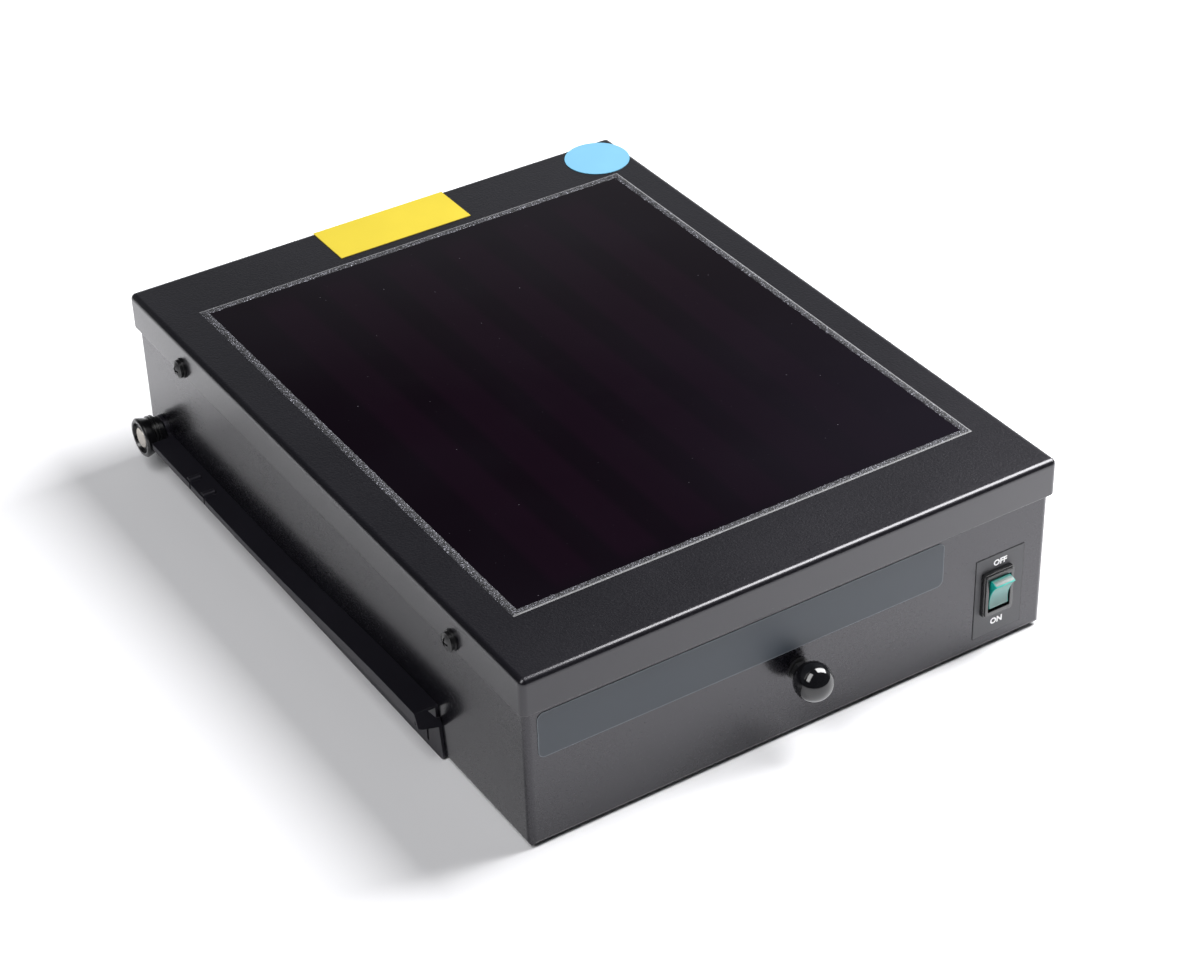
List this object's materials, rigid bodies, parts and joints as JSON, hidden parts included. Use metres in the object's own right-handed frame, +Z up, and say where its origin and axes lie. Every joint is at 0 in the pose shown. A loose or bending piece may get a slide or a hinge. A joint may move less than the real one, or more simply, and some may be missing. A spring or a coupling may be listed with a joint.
{
  "type": "uv transilluminator",
  "caption": "Low bench transilluminator: folded black case, lift-off lid with dark filter glass, lit rocker switch, pull knob and roller slides along both sides.",
  "frame": {"origin": "middle of the whole object's footprint, on the plane that the slides' feet rest on", "axes": "+Z up, +Y to the rear (the knob and switch face -Y), +X to the right seen from the front"},
  "size_m": [0.2704, 0.349, 0.0829],
  "materials": {
    "case_coat": "fine textured semi-gloss black powder coat",
    "lid_coat": "fine textured semi-gloss black powder coat",
    "filter": "polished near-black violet filter glass",
    "silicone": "rough speckled grey silicone",
    "gasket": "matt black foam",
    "zinc": "bright zinc plate",
    "black_screw": "black plated steel",
    "slide_coat": "smooth semi-gloss black coat",
    "roller_nylon": "black nylon",
    "rivet": "pale plated steel",
    "knob_gloss": "polished black thermoset",
    "switch_black": "fine eroded black nylon",
    "rocker_green": "translucent green polycarbonate",
    "brass": "plain brass",
    "name_film": "satin blue-grey film",
    "plate_film": "satin black film",
    "yellow_film": "satin yellow film",
    "blue_film": "satin blue film",
    "tray_steel": "mill-finish plated sheet",
    "mirror_sheet": "bright rolled",
    "holder_white": "white polycarbonate",
    "lamp_glass": "clear tube glass",
    "cap_metal": "satin",
    "ballast_white": "white painted steel",
    "wire_grey": "grey sleeve",
    "fuse_glass": "clear glass"
  },
  "bodies": {
    "case": {"case_shell": "case_coat", "lid_screws": "black_screw", "lid_washers": "black_screw", "lid_nuts": "zinc", "slide_rail_left": "slide_coat", "slide_rail_right": "slide_coat", "rail_screws": "zinc", "rail_nuts": "zinc", "roller_rivets": "rivet", "knob": "knob_gloss", "knob_stud": "zinc", "knob_washers": "black_screw", "knob_nuts": "black_screw", "switch_frame": "switch_black", "switch_terminals": "brass", "switch_plate": "plate_film", "name_band": "name_film", "lamp_tray": "tray_steel", "tray_pillars": "brass", "tray_screws": "zinc", "reflector": "mirror_sheet", "end_masks": "tray_steel", "tube_holders_front": "holder_white", "tube_holders_rear": "holder_white", "uv_tubes": "lamp_glass", "tube_caps": "cap_metal", "ballasts": "ballast_white", "ballast_studs": "zinc", "ballast_nuts": "zinc", "terminal_block": "holder_white", "terminal_screws": "brass", "mains_inlet": "switch_black", "inlet_pins": "brass", "inlet_screws": "zinc", "inlet_nuts": "zinc", "earth_stud": "zinc", "earth_nuts": "brass", "mains_loom": "wire_grey", "switch_loom": "wire_grey", "lamp_loom": "wire_grey"},
    "lid": {"lid_shell": "lid_coat", "filter_glass": "filter", "filter_seal": "silicone", "glass_carrier": "zinc", "carrier_gasket": "gasket", "carrier_studs": "zinc", "carrier_nuts": "zinc", "yellow_label": "yellow_film", "blue_disc": "blue_film"},
    "rocker": {"switch_rocker": "rocker_green"},
    "roller_left": {"roller_left": "roller_nylon"},
    "roller_right": {"roller_right": "roller_nylon"},
    "fuse_drawer": {"fuse_drawer": "switch_black", "fuse": "fuse_glass"}
  },
  "joints": [
    {"name": "lid_lift", "type": "slide", "parent": "case", "child": "lid", "axis": [0, 0, 1], "range_m": [0, 0.1]},
    {"name": "rocker_tilt", "type": "hinge", "parent": "case", "child": "rocker", "pos_m": [0.0976, -0.1592, 0.0288], "axis": [1, 0, 0], "range_deg": [-30, 0]},
    {"name": "roller_left_spin", "type": "hinge", "parent": "case", "child": "roller_left", "pos_m": [-0.1318, 0.15715, 0.018], "axis": [1, 0, 0], "continuous": true},
    {"name": "roller_right_spin", "type": "hinge", "parent": "case", "child": "roller_right", "pos_m": [0.1318, 0.15715, 0.018], "axis": [1, 0, 0], "continuous": true},
    {"name": "fuse_drawer_slide", "type": "slide", "parent": "case", "child": "fuse_drawer", "axis": [0, 1, 0], "range_m": [0, 0.016]}
  ]
}
